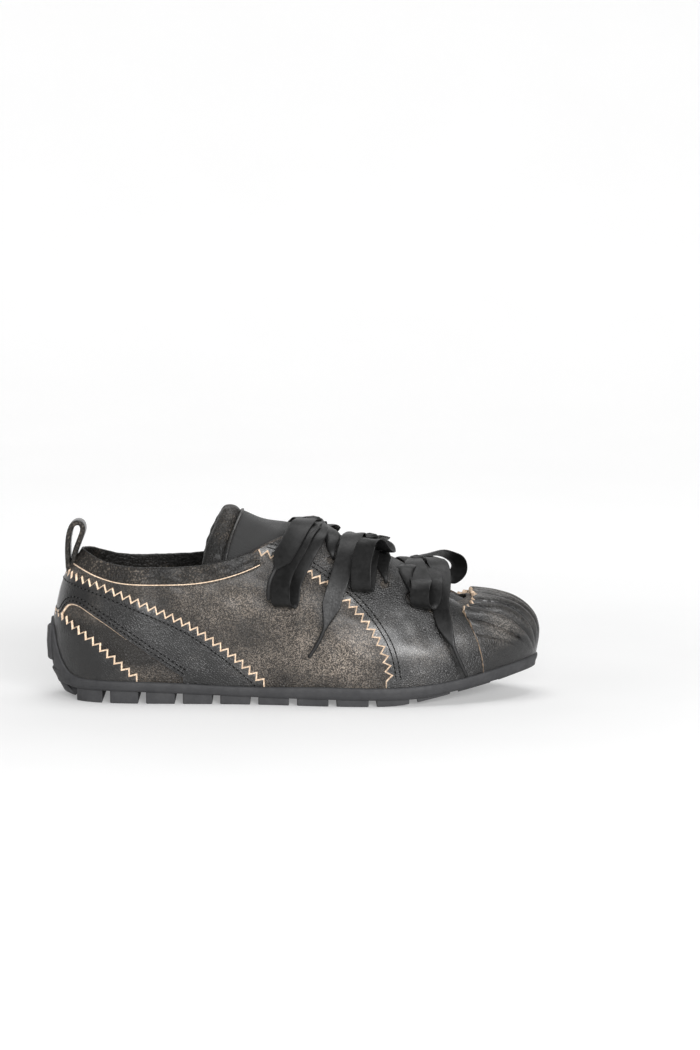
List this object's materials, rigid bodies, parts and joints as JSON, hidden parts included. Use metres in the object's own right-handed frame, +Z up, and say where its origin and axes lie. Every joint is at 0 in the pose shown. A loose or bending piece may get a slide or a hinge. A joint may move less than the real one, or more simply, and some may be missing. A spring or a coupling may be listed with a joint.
{
  "type": "ballet sneaker",
  "caption": "Low leather lace-up ballet sneaker for the right foot, with a pleated toe cap, ribbon bows, an arched tongue, a heel pull loop and a lugged rubber sole.",
  "frame": {"origin": "middle of the shoe's box, without the loose lace ends, on the floor under the sole", "axes": "+X to the toe, -Y to the outer side of the foot, +Z up"},
  "size_m": [0.2648, 0.0925, 0.1031],
  "materials": {
    "rubber": "matte",
    "grain_leather": "worn grain",
    "smooth_leather": "satin",
    "lining": "matte",
    "tongue_cloth": "woven, matte",
    "satin_ribbon": "satin"
  },
  "bodies": {
    "root": {"heel_counter": "smooth_leather", "insole": "lining", "lace_1_crossing": "satin_ribbon", "lace_1_end_inner": "satin_ribbon", "lace_1_end_outer": "satin_ribbon", "lace_1_knot": "satin_ribbon", "lace_1_loop_inner": "satin_ribbon", "lace_1_loop_outer": "satin_ribbon", "lace_2_crossing": "satin_ribbon", "lace_2_end_inner": "satin_ribbon", "lace_2_end_outer": "satin_ribbon", "lace_2_knot": "satin_ribbon", "lace_2_loop_inner": "satin_ribbon", "lace_2_loop_outer": "satin_ribbon", "lace_3_crossing": "satin_ribbon", "lace_3_end_inner": "satin_ribbon", "lace_3_end_outer": "satin_ribbon", "lace_3_knot": "satin_ribbon", "lace_3_loop_inner": "satin_ribbon", "lace_3_loop_outer": "satin_ribbon", "outsole": "rubber", "pull_loop": "smooth_leather", "saddle_inner": "smooth_leather", "saddle_outer": "smooth_leather", "side_band": "smooth_leather", "toe_cap": "smooth_leather", "tongue": "tongue_cloth", "upper": "grain_leather"}
  },
  "joints": []
}
